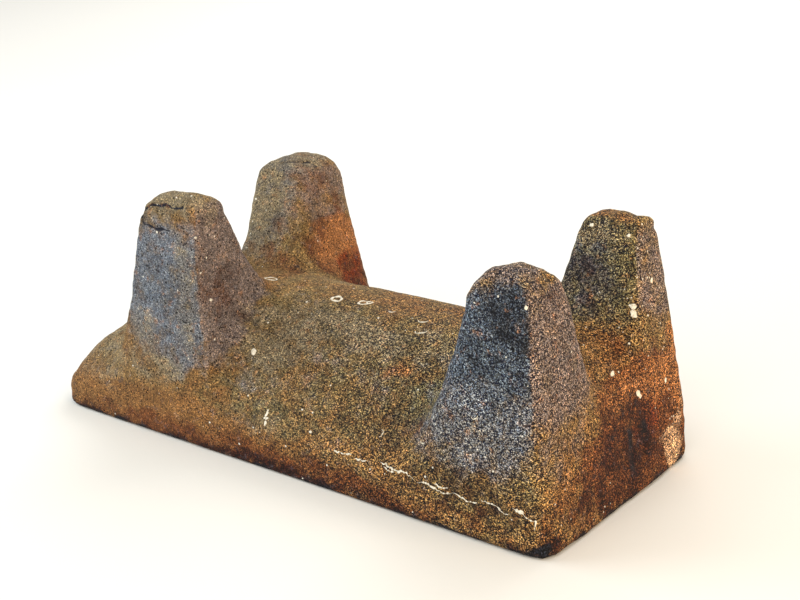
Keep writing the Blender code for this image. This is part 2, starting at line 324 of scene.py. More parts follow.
# Spots of lime crust, in mm: centre, radius, stretch, turn, seed, unevenness of the outline.
SPOTS = [
    ((-33.3, -52.0, 54.7), 1.9, 1.3, 70, 3, 0.35),
    ((-9.6, -70.7, 31.4), 0.75, 2.3, 75, 5, 0.7),
    ((-9.4, -71.3, 28.2), 0.8, 1.5, 20, 4, 0.7),
    ((-9.0, -71.5, 25.6), 0.7, 1.9, 100, 4, 0.6),
    ((151.2, 36.2, 93.8), 1.4, 1.3, 35, 3, 0.35),
    ((151.8, 36.2, 90.0), 1.5, 1.3, 100, 3, 0.3),
    ((162.7, 24.9, 52.0), 2.0, 1.1, 0, 4, 0.35),
    ((163.4, 26.6, 50.0), 1.1, 1.2, 40, 3, 0.3),
    ((118.6, 48.5, 129.3), 1.1, 1.2, 30, 3, 0.3),
    ((141.0, 47.7, 127.5), 0.9, 1.1, 0, 3, 0.3),
    ((152.1, 54.8, 103.5), 0.9, 1.7, 80, 2, 0.3),
    ((155.4, 7.7, 66.8), 1.3, 1.5, 20, 4, 0.4),
    ((164.3, 53.5, 49.9), 1.0, 1.4, 60, 3, 0.3),
    ((149.8, -70.6, 124.6), 0.8, 1.6, 90, 3, 0.3),
    ((-95.6, 24.9, 114.1), 0.7, 1.2, 0, 2, 0.2),
    ((-54.2, -71.4, 121.5), 0.6, 1.2, 0, 2, 0.2),
    ((-51.6, -64.9, 85.1), 0.8, 1.2, 0, 2, 0.2),
    ((21.0, -71.3, 28.2), 0.7, 1.3, 0, 2, 0.2),
]

# Tone of a mineral grain, from black mica to pale quartz, as shares of the patina's colour. The first
# two rows are the ramp's ends, and the rest lie between them.
GRAIN_TONES = [
    (0.0, (0.010, 0.012, 0.035)),
    (1.0, (1.45, 1.38, 1.22)),
    (0.40, (0.02, 0.025, 0.06)),
    (0.465, (0.22, 0.16, 0.10)),
    (0.60, (0.22, 0.23, 0.23)),
    (0.70, (0.50, 0.42, 0.32)),
    (0.82, (0.48, 0.54, 0.62)),
    (0.94, (0.98, 0.92, 0.77)),
]

# Makes up for the dark grains, so that the stone keeps the patina's colour on the whole.
GRAIN_GAIN = (2.5, 2.5, 2.5, 1.0)


def hex_colour(text):
    """Turns an sRGB hex colour into linear light."""
    steps = [int(text[k:k + 2], 16) / 255 for k in (0, 2, 4)]
    return tuple(s / 12.92 if s <= 0.04045 else ((s + 0.055) / 1.055) ** 2.4 for s in steps)


def colour_prop(name, description, text):
    """A colour setting whose default is given as sRGB hex."""
    return bpy.props.FloatVectorProperty(name=name, description=description, size=3, min=0.0, max=1.0,
                                         subtype="COLOR", default=hex_colour(text))


def length_prop(name, description, millimetres):
    """A length setting whose default is given in millimetres."""
    return bpy.props.FloatProperty(name=name, description=description, default=millimetres * MM,
                                   min=0.0, unit="LENGTH", precision=5)


def number_prop(name, description, value, subtype="NONE"):
    """A setting that is a plain number, an angle in radians or a power in watts."""
    return bpy.props.FloatProperty(name=name, description=description, default=value, subtype=subtype)


class StoneSettings(bpy.types.PropertyGroup):
    """Sizes of the stone's worked surface."""
    cell_size: length_prop("Cell size", "Edge of the skin's faces", 1.6)
    swell_height: length_prop("Swell", "Height of the slow unevenness of hand carving", 0.5)
    dress_height: length_prop("Dressing", "Height of the marks of the pecking stone", 0.28)
    pit_depth: length_prop("Pits", "Depth of single pecked pits", 0.3)
    grain_size: length_prop("Grain", "Width of a mineral grain", 0.5)
    crust_height: length_prop("Crust", "Thickness of the lime crust", 0.35)


class PatinaSettings(bpy.types.PropertyGroup):
    """Colours of the stone's weathering, from the ground colour up; some of them also paint shade and
    highlight.
    """
    olive_tan: colour_prop("Olive tan", "Ground colour of the weathered granite", "866F46")
    ochre: colour_prop("Ochre", "Iron-stained lower walls and nose", "855F36")
    dull_olive: colour_prop("Dull olive", "Shaded, algae-darkened granite", "6D6344")
    # Blue grey also paints the paler, cooler light on the leg fronts turned to the left lamp.
    blue_grey: colour_prop("Blue grey", "Fresh granite of the leg fronts", "676D76")
    # Slate also paints shade on the right legs' fronts, turned away from the left lamp.
    slate: colour_prop("Slate", "Dark granite of the right legs' fronts", "505A66")
    # Purple brown also paints shade on the left front leg's end-facing face and warm light on the right legs'
    # end faces.
    purple_brown: colour_prop("Purple brown", "Inner and end faces of the legs", "786B65")
    pale_silt: colour_prop("Pale silt", "Dry film of silt", "7F7259")
    rust_brown: colour_prop("Rust brown", "Iron stain of the flush end's wall", "6A3F21")
    # Rust orange also paints a highlight near the back right edge of the flush end.
    rust_orange: colour_prop("Rust orange", "Iron stain of the flush end", "9F6C40")
    rust_red: colour_prop("Rust red", "Deep iron stain in the roots", "742C02")
    # Umber paints shade at the bottom edge and in the creases and hollows; its dirt lies on the flush end.
    umber: colour_prop("Umber", "Dirt of the edge and the hollows", "35170D")
    # The black film also paints shade along the bottom edge, on the right front leg's front and under a flake
    # step.
    black_film_and_shade: colour_prop("Black film", "Near-black film of dirt and manganese", "16171F")
    cream_scale: colour_prop("Cream scale", "Scaly crust at the foot of the end", "C8A37E")
    # The crack colour is painted shade: the dark lines in the cracks and along the flake steps.
    crack: colour_prop("Crack", "Bruised rims and cracks", "20222E")
    lime: colour_prop("Lime", "Lime crust", "EEE8D6")
    soiled_lime: colour_prop("Soiled lime", "Dirt on the lime crust", "A89878")


class StudioSettings(bpy.types.PropertyGroup):
    """Camera, floor and lights."""
    camera_place: bpy.props.FloatVectorProperty(
        name="Camera place", description="Where the camera stands", size=3, subtype="TRANSLATION",
        unit="LENGTH", default=(0.474076, -0.621898, 0.356674))
    camera_turn: number_prop("Turn", "Turn of the view about the upright", math.radians(35.6308), "ANGLE")
    camera_dip: number_prop("Dip", "How far the view looks down", math.radians(19.7035), "ANGLE")
    camera_roll: number_prop("Roll", "Roll about the line of sight", math.radians(-0.102), "ANGLE")
    focal_length: number_prop("Focal length", "Lens, in mm on a 36 mm wide sensor", 66.73)
    dome_strength: number_prop("Dome", "Strength of the white surround", 0.64)
    left_power: number_prop("Left light", "Power of the cool light", 8.0, "POWER")
    right_power: number_prop("Right light", "Power of the warm light", 8.0, "POWER")
    front_power: number_prop("Front light", "Power of the fill beside the camera", 6.0, "POWER")
    back_power: number_prop("Back light", "Power of the wash on the floor behind", 22.0, "POWER")
    floor_colour: colour_prop("Floor", "Matt card under the stone", "E9E7E0")


# Settings that several nodes share: a mix of colours, a product of colours, and a range with soft ends.
# Both mixes take their colours at inputs 6 and 7 and give the result at output 2.
BLEND = {"data_type": "RGBA"}
TIMES = {"data_type": "RGBA", "blend_type": "MULTIPLY"}
SOFT = {"interpolation_type": "SMOOTHSTEP"}


def add_node(tree, kind, settings=None, inputs=None, stops=None):
    """Adds one node, sets its properties and ramp stops, and fills its inputs with values or links."""
    node = tree.nodes.new(kind)
    for name, value in (settings or {}).items():
        setattr(node, name, value)
    for place, (position, colour) in enumerate(stops or []):
        elements = node.color_ramp.elements
        element = elements[place] if place < 2 else elements.new(position)
        element.position = position
        element.color = (*colour, 1.0)
    for socket, source in (inputs or {}).items():
        if isinstance(source, bpy.types.NodeSocket):
            tree.links.new(source, node.inputs[socket])
        else:
            node.inputs[socket].default_value = source
    return node


def new_material(name):
    """An empty node material."""
    material = bpy.data.materials.new(name)
    material.use_nodes = True
    material.node_tree.nodes.clear()
    return material


def patina_colour(tree, place, patina):
    """The weathered colour without its grain: two ground colours in slow clouds, then each stain in turn,
    with painted shade and highlight among them, and last the cracks' painted shade.

    A stain shows where its patch's weight and a blotchy noise add up to enough, which frays its limit.
    """
    cloud = add_node(tree, "ShaderNodeTexNoise", None,
                     {"Vector": place, "Scale": 1 / CLOUD_WIDTH, "Detail": 4.0, "Roughness": 0.6})
    warm = add_node(tree, "ShaderNodeMapRange", None,
                    {"Value": cloud.outputs["Fac"], "From Min": 0.42, "From Max": 0.68})
    colour = add_node(tree, "ShaderNodeMix", BLEND,
                      {"Factor": warm.outputs[0], 6: (*patina.olive_tan, 1.0),
                       7: (*patina.ochre, 1.0)}).outputs[2]
    blotch = add_node(tree, "ShaderNodeTexNoise", None,
                      {"Vector": place, "Scale": 1 / BLOTCH_WIDTH, "Detail": 6.0, "Roughness": 0.7})
    blots = add_node(tree, "ShaderNodeSeparateColor", None, {"Color": blotch.outputs["Color"]})
    for turn, stain in enumerate((*PATINA_AND_PAINTED_LIGHT, "crack")):
        mask = add_node(tree, "ShaderNodeAttribute", {"attribute_name": "patina_" + stain})
        ragged = add_node(tree, "ShaderNodeMath", {"operation": "MULTIPLY_ADD"},
                          {0: blots.outputs[turn % 3], 1: 1.8, 2: mask.outputs["Fac"]})
        share = add_node(tree, "ShaderNodeMapRange", SOFT,
                         {"Value": ragged.outputs[0], "From Min": 1.06, "From Max": 1.8})
        tint = (*getattr(patina, stain), 1.0)
        colour = add_node(tree, "ShaderNodeMix", BLEND,
                          {"Factor": share.outputs[0], 6: colour, 7: tint}).outputs[2]
    mottle = add_node(tree, "ShaderNodeTexNoise", {"noise_dimensions": "4D"},
                      {"Vector": place, "W": 3.0, "Scale": 1 / MOTTLE_WIDTH, "Detail": 4.0, "Roughness": 0.6})
    cool = add_node(tree, "ShaderNodeMapRange", SOFT,
                    {"Value": mottle.outputs["Fac"], "From Min": 0.54, "From Max": 0.72, "To Max": 0.35})
    colour = add_node(tree, "ShaderNodeMix", BLEND,
                      {"Factor": cool.outputs[0], 6: colour, 7: (*patina.slate, 1.0)}).outputs[2]
    fleck = add_node(tree, "ShaderNodeMapRange", SOFT,
                     {"Value": mottle.outputs["Fac"], "From Min": 0.44, "From Max": 0.3, "To Max": 0.45})
    colour = add_node(tree, "ShaderNodeMix", BLEND,
                      {"Factor": fleck.outputs[0], 6: colour, 7: (*patina.rust_orange, 1.0)}).outputs[2]
    shade = add_node(tree, "ShaderNodeMapRange", None,
                     {"Value": blots.outputs[2], "From Min": 0.36, "From Max": 0.64, "To Min": 0.74,
                      "To Max": 1.2})
    return add_node(tree, "ShaderNodeMix", TIMES,
                    {"Factor": 1.0, 6: colour, 7: shade.outputs[0]}).outputs[2]


def grained_colour(tree, place, per_metre, grain, fine, colour):
    """The colour times the tone of each mineral grain, the depth between grains, and dark pepper.

    Grains and depth count for half as much under the film of silt. Pepper is a wider Voronoi pattern
    in which a cell is dark only if its random number and the distance from its middle are both small.
    """
    film = add_node(tree, "ShaderNodeAttribute", {"attribute_name": "silt_film"})
    clear = add_node(tree, "ShaderNodeMapRange", None,
                     {"Value": film.outputs["Fac"], "To Min": 1.0, "To Max": 0.5})
    split = add_node(tree, "ShaderNodeSeparateColor", None, {"Color": grain.outputs["Color"]})
    tone = add_node(tree, "ShaderNodeValToRGB", None, {"Fac": split.outputs["Red"]}, GRAIN_TONES)
    scaled = add_node(tree, "ShaderNodeMix", TIMES,
                      {"Factor": 1.0, 6: tone.outputs["Color"], 7: GRAIN_GAIN}).outputs[2]
    speckled = add_node(tree, "ShaderNodeMix", TIMES,
                        {"Factor": clear.outputs[0], 6: colour, 7: scaled}).outputs[2]
    clump = add_node(tree, "ShaderNodeTexNoise", None,
                     {"Vector": place, "Scale": per_metre * 0.32, "Detail": 3.0, "Roughness": 0.7})
    texture = add_node(tree, "ShaderNodeMath", {"operation": "ADD"},
                       {0: clump.outputs["Fac"], 1: fine.outputs["Fac"]})
    depth = add_node(tree, "ShaderNodeMapRange", None,
                     {"Value": texture.outputs[0], "From Min": 0.74, "From Max": 1.26, "To Min": 0.25,
                      "To Max": 1.85})
    salted = add_node(tree, "ShaderNodeMix", TIMES,
                      {"Factor": clear.outputs[0], 6: speckled, 7: depth.outputs[0]}).outputs[2]
    mica = add_node(tree, "ShaderNodeTexVoronoi", None, {"Vector": place, "Scale": per_metre * 0.42})
    pick = add_node(tree, "ShaderNodeSeparateColor", None, {"Color": mica.outputs["Color"]})
    picked = add_node(tree, "ShaderNodeMath", {"operation": "MULTIPLY_ADD"},
                      {0: pick.outputs["Green"], 1: 0.95, 2: mica.outputs["Distance"]})
    pepper = add_node(tree, "ShaderNodeMapRange", None,
                      {"Value": picked.outputs[0], "From Min": 0.45, "From Max": 0.6, "To Min": 0.1,
                       "To Max": 1.12})
    return add_node(tree, "ShaderNodeMix", TIMES,
                    {"Factor": 0.95, 6: salted, 7: pepper.outputs[0]}).outputs[2]


def specked_colour(tree, place, fine, colour, lime):
    """The colour with white specks of lime: small Voronoi cells, rare but where they lie thick."""
    speck = add_node(tree, "ShaderNodeTexVoronoi", None, {"Vector": place, "Scale": 1 / SPECK_PITCH})
    rank = add_node(tree, "ShaderNodeSeparateColor", None, {"Color": speck.outputs["Color"]})
    thick = add_node(tree, "ShaderNodeAttribute", {"attribute_name": "lime_specks"})
    rarity = add_node(tree, "ShaderNodeMapRange", None,
                      {"Value": thick.outputs["Fac"], "To Min": 7.0, "To Max": 0.5})
    ranked = add_node(tree, "ShaderNodeMath", {"operation": "MULTIPLY_ADD"},
                      {0: rank.outputs["Red"], 1: rarity.outputs[0], 2: speck.outputs["Distance"]})
    frayed = add_node(tree, "ShaderNodeMath", {"operation": "MULTIPLY_ADD"},
                      {0: fine.outputs["Fac"], 1: 0.35, 2: ranked.outputs[0]})
    dotted = add_node(tree, "ShaderNodeMapRange", None,
                      {"Value": frayed.outputs[0], "From Min": 0.48, "From Max": 0.38, "To Max": 0.9})
    return add_node(tree, "ShaderNodeMix", BLEND,
                    {"Factor": dotted.outputs[0], 6: colour, 7: (*lime, 1.0)}).outputs[2]


def granite_material(stone, patina):
    """Weathered granite of fine to medium grain, pecked into shape with a harder stone.

    The pecking leaves a matt salt-and-pepper surface. Each Voronoi cell is one mineral grain: black mica, tan
    and grey feldspar, pale quartz. Iron, silt and dirt tint them in soft patches, and some patches paint
    shade and highlight.
    """
    material = new_material("weathered_granite")
    tree = material.node_tree
    place = add_node(tree, "ShaderNodeTexCoord").outputs["Object"]
    per_metre = 1 / stone.grain_size
    grain = add_node(tree, "ShaderNodeTexVoronoi", None, {"Vector": place, "Scale": per_metre})
    fine = add_node(tree, "ShaderNodeTexNoise", None,
                    {"Vector": place, "Scale": per_metre * 1.1, "Detail": 2.0, "Roughness": 0.6})
    stained = patina_colour(tree, place, patina)
    grained = grained_colour(tree, place, per_metre, grain, fine, stained)
    colour = specked_colour(tree, place, fine, grained, patina.lime)
    grit = add_node(tree, "ShaderNodeMath", {"operation": "MULTIPLY_ADD"},
                    {0: grain.outputs["Distance"], 1: -0.7, 2: fine.outputs["Fac"]})
    bump = add_node(tree, "ShaderNodeBump", None,
                    {"Strength": 0.55, "Distance": 0.5 * MM, "Height": grit.outputs[0]})
    surface = add_node(tree, "ShaderNodeBsdfPrincipled", None,
                       {"Base Color": colour, "Roughness": 0.9, "Specular IOR Level": 0.3,
                        "Normal": bump.outputs["Normal"]})
    add_node(tree, "ShaderNodeOutputMaterial", None, {"Surface": surface.outputs["BSDF"]})
    return material


def lime_material(patina):
    """Lime crust laid down by worm tubes: chalky, dull, and mottled with dirt."""
    material = new_material("lime_crust")
    tree = material.node_tree
    place = add_node(tree, "ShaderNodeTexCoord").outputs["Object"]
    mottle = add_node(tree, "ShaderNodeTexNoise", None,
                      {"Vector": place, "Scale": 1 / LIME_MOTTLE_WIDTH, "Detail": 3.0, "Roughness": 0.6})
    share = add_node(tree, "ShaderNodeMapRange", None,
                     {"Value": mottle.outputs["Fac"], "From Min": 0.45, "From Max": 0.75})
    colour = add_node(tree, "ShaderNodeMix", BLEND,
                      {"Factor": share.outputs[0], 6: (*patina.lime, 1.0),
                       7: (*patina.soiled_lime, 1.0)}).outputs[2]
    bump = add_node(tree, "ShaderNodeBump", None,
                    {"Strength": 0.5, "Distance": 0.3 * MM, "Height": mottle.outputs["Fac"]})
    surface = add_node(tree, "ShaderNodeBsdfPrincipled", None,
                       {"Base Color": colour, "Roughness": 0.8, "Specular IOR Level": 0.4,
                        "Normal": bump.outputs["Normal"]})
    add_node(tree, "ShaderNodeOutputMaterial", None, {"Surface": surface.outputs["BSDF"]})
    return material


def card_material(studio):
    """Matt card, plain and pale, with a faint tooth drawn coarser than a real card's so that it shows."""
    material = new_material("matt_card")
    tree = material.node_tree
    place = add_node(tree, "ShaderNodeTexCoord").outputs["Object"]
    tooth = add_node(tree, "ShaderNodeTexNoise", None,
                     {"Vector": place, "Scale": 1 / CARD_TOOTH_WIDTH, "Detail": 3.0})
    bump = add_node(tree, "ShaderNodeBump", None,
                    {"Strength": 0.2, "Distance": 0.3 * MM, "Height": tooth.outputs["Fac"]})
    surface = add_node(tree, "ShaderNodeBsdfPrincipled", None,
                       {"Base Color": (*studio.floor_colour, 1.0), "Roughness": 0.95,
                        "Specular IOR Level": 0.2, "Normal": bump.outputs["Normal"]})
    add_node(tree, "ShaderNodeOutputMaterial", None, {"Surface": surface.outputs["BSDF"]})
    return material


def smooth_step(low, high, value):
    """0 below low and 1 above high, with a smooth cubic between them."""
    share = np.clip((value - low) / (high - low), 0.0, 1.0)
    return share * share * (3.0 - 2.0 * share)


def lattice_value(cells, seed):
    """A fixed random number from -1 to 1 for each whole-number lattice cell."""
    mixed = cells[:, 0] * 73856093 ^ cells[:, 1] * 19349663 ^ cells[:, 2] * 83492791 ^ seed * 2654435761
    mixed = (mixed ^ (mixed >> 13)) * 1274126177
    mixed = (mixed ^ (mixed >> 16)) & 0xFFFF
    return mixed / 32767.5 - 1.0


def smooth_noise(points, wavelength, seed):
    """Random values on a cubic lattice one wavelength wide, blended by a quintic of the place in a cell."""
    place = points / wavelength
    cells = np.floor(place).astype(np.int64)
    share = place - cells
    share = share ** 3 * (share * (share * 6.0 - 15.0) + 10.0)
    total = np.zeros(len(points))
    for corner in itertools.product((0, 1), repeat=3):
        weight = np.prod(np.where(corner, share, 1.0 - share), axis=1)
        total += weight * lattice_value(cells + np.array(corner), seed)
    return total


def pecked_pits(points, pitch, seed):
    """One pit in each cell of a lattice, at a random place: the depth falls off with distance squared."""
    place = points / pitch
    cells = np.floor(place).astype(np.int64)
    nearest = np.full(len(points), 4.0)
    for step in itertools.product((-1, 0, 1), repeat=3):
        near = cells + np.array(step)
        jitter = np.stack([lattice_value(near, seed + axis) for axis in range(3)], axis=1)
        centre = near + 0.5 + 0.45 * jitter
        nearest = np.minimum(nearest, np.sum((place - centre) ** 2, axis=1))
    return np.clip(1.0 - nearest / 0.3, 0.0, 1.0)


def path_distance(points, path):
    """Distance of each 2-D point to the nearest of a path's straight pieces."""
    best = np.full(len(points), np.inf)
    for start, end in zip(path[:-1], path[1:]):
        start = np.array(start)
        along = np.array(end) - start
        share = np.clip((points - start) @ along / (along @ along), 0.0, 1.0)
        foot = start + share[:, None] * along
        best = np.minimum(best, np.linalg.norm(points - foot, axis=1))
    return best


def ball_weight(points, centre, radii):
    """1 around the centre of an ellipsoid in mm, half on its surface, and 0 well outside it."""
    offset = (points / MM - np.array(centre, float)) / np.array(radii, float)
    return 1.0 - smooth_step(0.6, 1.4, np.linalg.norm(offset, axis=1))


def read_points(mesh):
    """The mesh's vertices as an array."""
    flat = np.empty(len(mesh.vertices) * 3)
    mesh.vertices.foreach_get("co", flat)
    return flat.reshape(-1, 3)


def read_normals(mesh):
    """The mesh's vertex normals as an array."""
    flat = np.empty(len(mesh.vertices) * 3, np.float32)
    mesh.vertex_normals.foreach_get("vector", flat)
    return flat.reshape(-1, 3).astype(float)


def write_points(mesh, points):
    """Puts an array of places into the mesh's vertices."""
    mesh.vertices.foreach_set("co", points.astype(np.float32).ravel())
    mesh.update()


def link(name, mesh, material):
    """A new object of the mesh, smooth-shaded, with one material."""
    piece = bpy.data.objects.new(name, mesh)
    bpy.context.scene.collection.objects.link(piece)
    mesh.shade_smooth()
    mesh.materials.clear()
    mesh.materials.append(material)
    return piece


def remeshed_copy(cell_size):
    """A copy of the solid's mesh, merged, remeshed into even cells, and eased over a few millimetres."""
    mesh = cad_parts[NODE].data.copy()
    shell = bmesh.new()
    shell.from_mesh(mesh)
    bmesh.ops.remove_doubles(shell, verts=shell.verts, dist=0.01 * MM)
    shell.to_mesh(mesh)
    shell.free()
    carrier = bpy.data.objects.new("carrier", mesh)
    bpy.context.scene.collection.objects.link(carrier)
    cells = carrier.modifiers.new("even_cells", "REMESH")
    cells.mode = "VOXEL"
    cells.voxel_size = cell_size
    ease = carrier.modifiers.new("ease", "SMOOTH")
    ease.factor = 0.5
    ease.iterations = 3
    graph = bpy.context.evaluated_depsgraph_get()
    skin = bpy.data.meshes.new_from_object(carrier.evaluated_get(graph))
    bpy.data.objects.remove(carrier)
    skin.name = SKIN
    return skin


def refine(mesh, centre, radii):
    """Halves the edges of the faces inside an ellipsoid, for detail finer than the cells."""
    shell = bmesh.new()
    shell.from_mesh(mesh)
    centre = Vector(centre) * MM
    inside = [
        edge for edge in shell.edges
        if sum(((edge.verts[0].co[k] - centre[k]) / (radii[k] * MM)) ** 2 for k in range(3)) < 1.0
    ]
    bmesh.ops.subdivide_edges(shell, edges=inside, cuts=1, use_grid_fill=True)
    bmesh.ops.triangulate(shell, faces=[face for face in shell.faces if len(face.verts) > 4])
    shell.to_mesh(mesh)
    shell.free()


def patch_mask(points, normals, patches, waver=0.0):
    """The strongest of several patches at each vertex; waver frays the limit of one that faces one way."""
    mask = np.zeros(len(points))
    for centre, radii, facing, strength in patches:
        weight = ball_weight(points, centre, radii) * strength
        if facing is not ANY_WAY:
            way, low, high = facing
            weight = weight * smooth_step(low, high, normals @ np.array(way) + waver)
        mask = np.maximum(mask, weight)
    return mask


def stain_and_painted_light_masks(mesh):
    """Writes one point attribute per colour mark, stains and painted shade and highlight alike: the strongest
    of its patches at each vertex, with the band of painted contact shade added along the bottom edge.
    """
    points = read_points(mesh)
    normals = read_normals(mesh)
    slow = np.stack([smooth_noise(points, SLOW_DRIFT[0], seed) for seed in (41, 42, 43)], axis=1)
    quick = np.stack([smooth_noise(points, QUICK_DRIFT[0], seed) for seed in (44, 45, 46)], axis=1)
    shifted = points + slow * SLOW_DRIFT[1] + quick * QUICK_DRIFT[1]
    waver = 0.16 * quick[:, 0] + 0.16 * smooth_noise(points, 4 * MM, 47)
    height = points[:, 2] / MM
    for stain, patches in PATINA_AND_PAINTED_LIGHT.items():
        mask = patch_mask(shifted, normals, patches, waver)
        # Painted contact shade: a band that darkens the foot of the stone all round and fades out upward.
        if stain in EDGE_SHADE_BANDS:
            reach, strength = EDGE_SHADE_BANDS[stain]
            edge = 1.0 - smooth_step(0.2 * reach, reach, height + 2.5 * smooth_noise(points, 9 * MM, 51))
            mask = np.maximum(mask, strength * edge)
        write_mask(mesh, "patina_" + stain, mask)
    # Where the painted shade of the cracks lies.
    write_mask(mesh, "patina_crack", crack_weight(points))
    write_mask(mesh, "lime_specks", patch_mask(points, normals, SPECKLED))
    write_mask(mesh, "silt_film", 1.0 - smooth_step(-90.0, 90.0, points[:, 0] / MM))


def write_mask(mesh, name, mask):
    """Keeps one number per vertex as a named attribute."""
    layer = mesh.attributes.new(name, "FLOAT", "POINT")
    layer.data.foreach_set("value", mask.astype(np.float32))


def crack_weight(points):
    """1 along the cracks and chipped rims, fading out about a millimetre away, with ragged edges: where they
    are carved in, and where their painted shade lies.
    """
    ragged = 0.5 * smooth_noise(points, 3 * MM, 61)
    weight = np.zeros(len(points))
    for axes, place, path in CRACKS:
        third = 3 - sum(axes)
        near = np.abs(points[:, third] / MM - place) < 8.0
        distance = path_distance(points[:, axes] / MM, path) + ragged
        weight = np.maximum(weight, near * (1.0 - smooth_step(0.3, 1.1, distance)))
    return weight


def relief(mesh, stone):
    """Moves each vertex along its normal by swells, dressing marks, pits and hollows.

    The base, where the normals look down, stays flat.
    """
    points = read_points(mesh)
    normals = read_normals(mesh)
    rise = stone.swell_height * smooth_noise(points, SWELL_WAVE, 11)
    rise += 0.5 * stone.swell_height * smooth_noise(points[:, (1, 2, 0)], 0.5 * SWELL_WAVE, 12)
    rise += stone.dress_height * smooth_noise(points[:, (2, 0, 1)], DRESS_WAVE, 13)
    rise += 0.6 * stone.dress_height * smooth_noise(points, FINE_DRESS_WAVE, 14)
    rise -= stone.pit_depth * pecked_pits(points, PIT_PITCH, 15)
    for centre, radii, depth in HOLLOWS:
        rise -= depth * MM * ball_weight(points, centre, radii)
    rise -= CRACK_DEPTH * crack_weight(points)
    rise *= 1.0 + TOP_ROUGHNESS * smooth_step(*WORN_TOP, points[:, 2] / MM)
    rise *= smooth_step(-0.7, -0.3, normals[:, 2])
    moved = points + normals * rise[:, None]
    moved[:, 2] = np.maximum(moved[:, 2], 0.0)
    write_points(mesh, moved)


class STONE_OT_skin(bpy.types.Operator):
    """Makes the pecked, stained skin of the stone over its solid"""
    bl_idname = "grinding_stone.skin"
    bl_label = "Stone skin"

    def execute(self, context):
        stone = context.scene.stone_settings
        mesh = remeshed_copy(stone.cell_size)
        for centre, radii in CRACKED_TOPS:
            refine(mesh, centre, radii)
        relief(mesh, stone)
        stain_and_painted_light_masks(mesh)
        piece = link(SKIN, mesh, granite_material(stone, context.scene.patina_settings))
        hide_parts(NODE)
        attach(piece, BODY)
        return {"FINISHED"}


def skin_seat(skin, place):
    """The nearest place on the skin to one in mm, with two directions along the skin and one out of it."""
    found, foot, out, _ = skin.closest_point_on_mesh(Vector(place) * MM)
    if not found:
        raise RuntimeError("A crust lies too far from the skin to be seated")
    side = Vector((0, 0, 1)).cross(out)
    if side.length < 0.3:
        side = Vector((1, 0, 0)) - out * out.x
    side.normalize()
    return np.array(foot), np.array(side), np.array(out.cross(side)), np.array(out)


def front_seat(skin, across, height):
    """Where a level line from in front, at a place in mm, meets the skin, and the way out of it there."""
    found, foot, out, _ = skin.ray_cast(Vector((across, -90.0, height)) * MM, Vector((0.0, 1.0, 0.0)))
    if not found:
        raise RuntimeError("A strand runs past the end of the front wall")
    return np.array(foot), np.array(out)


def grid_faces(rows, columns, first):
    """Quads of a grid that closes on itself along its columns."""
    row, column = np.meshgrid(np.arange(rows - 1), np.arange(columns), indexing="ij")
    after = (column + 1) % columns
    corners = (row * columns + column, row * columns + after,
               (row + 1) * columns + after, (row + 1) * columns + column)
    return first + np.stack([c.ravel() for c in corners], axis=1)


def crust_mesh(name, grids):
    """One mesh of several grids, with doubles merged so that poles and seams are closed."""
    points = []
    faces = []
    first = 0
    for grid in grids:
        rows, columns, _ = grid.shape
        faces.append(grid_faces(rows, columns, first))
        points.append(grid.reshape(-1, 3))
        first += rows * columns
    mesh = bpy.data.meshes.new(name)
    mesh.from_pydata(np.concatenate(points), [], np.concatenate(faces).tolist())
    shell = bmesh.new()
    shell.from_mesh(mesh)
    bmesh.ops.remove_doubles(shell, verts=shell.verts, dist=0.002 * MM)
    bmesh.ops.recalc_face_normals(shell, faces=shell.faces)
    shell.to_mesh(mesh)
    shell.free()
    return mesh


def strand_grid(skin, path, width, seed, height):
    """A flat tube along a wandering path: half-width and height times the cosine and sine of a turn.

    Two waves of noise bend the path up and down, and two more swell and pinch the width into beads.
    """
    path = np.array(path)
    spans = np.linalg.norm(np.diff(path, axis=0), axis=1)
    travel = np.concatenate([[0.0], np.cumsum(spans)])
    step_length = 0.35
    steps = max(int(travel[-1] / step_length), 12)
    along = np.linspace(0.0, travel[-1], steps)
    flat = np.stack([np.interp(along, travel, path[:, k]) for k in (0, 1)], axis=1)
    key = np.stack([along * MM, np.full(steps, seed * 0.1), np.zeros(steps)], axis=1)
    flat[:, 1] += 0.6 * smooth_noise(key, 4.5 * MM, 71) + 0.6 * smooth_noise(key, 1.3 * MM, 72)
    swell = 0.85 + 0.9 * smooth_noise(key, 2.2 * MM, 73) + 0.9 * smooth_noise(key, 0.8 * MM, 74)
    taper = np.sin(np.pi * np.linspace(0.0, 1.0, steps)) ** 0.35
    half = 0.5 * width * MM * np.clip(swell, 0.08, None) * taper
    seats = [front_seat(skin, x, z) for x, z in flat]
    foot = np.array([seat[0] for seat in seats])
    out = np.array([seat[1] for seat in seats])
    ahead = np.gradient(foot, axis=0)
    ahead /= np.linalg.norm(ahead, axis=1)[:, None]
    side = np.cross(ahead, out)
    turn = np.linspace(0.0, 2 * np.pi, TUBE_SIDES, endpoint=False)
    thick = height * taper
    return (foot[:, None] + side[:, None] * (half[:, None] * np.cos(turn))[..., None]
            + out[:, None] * (thick[:, None] * np.sin(turn))[..., None])


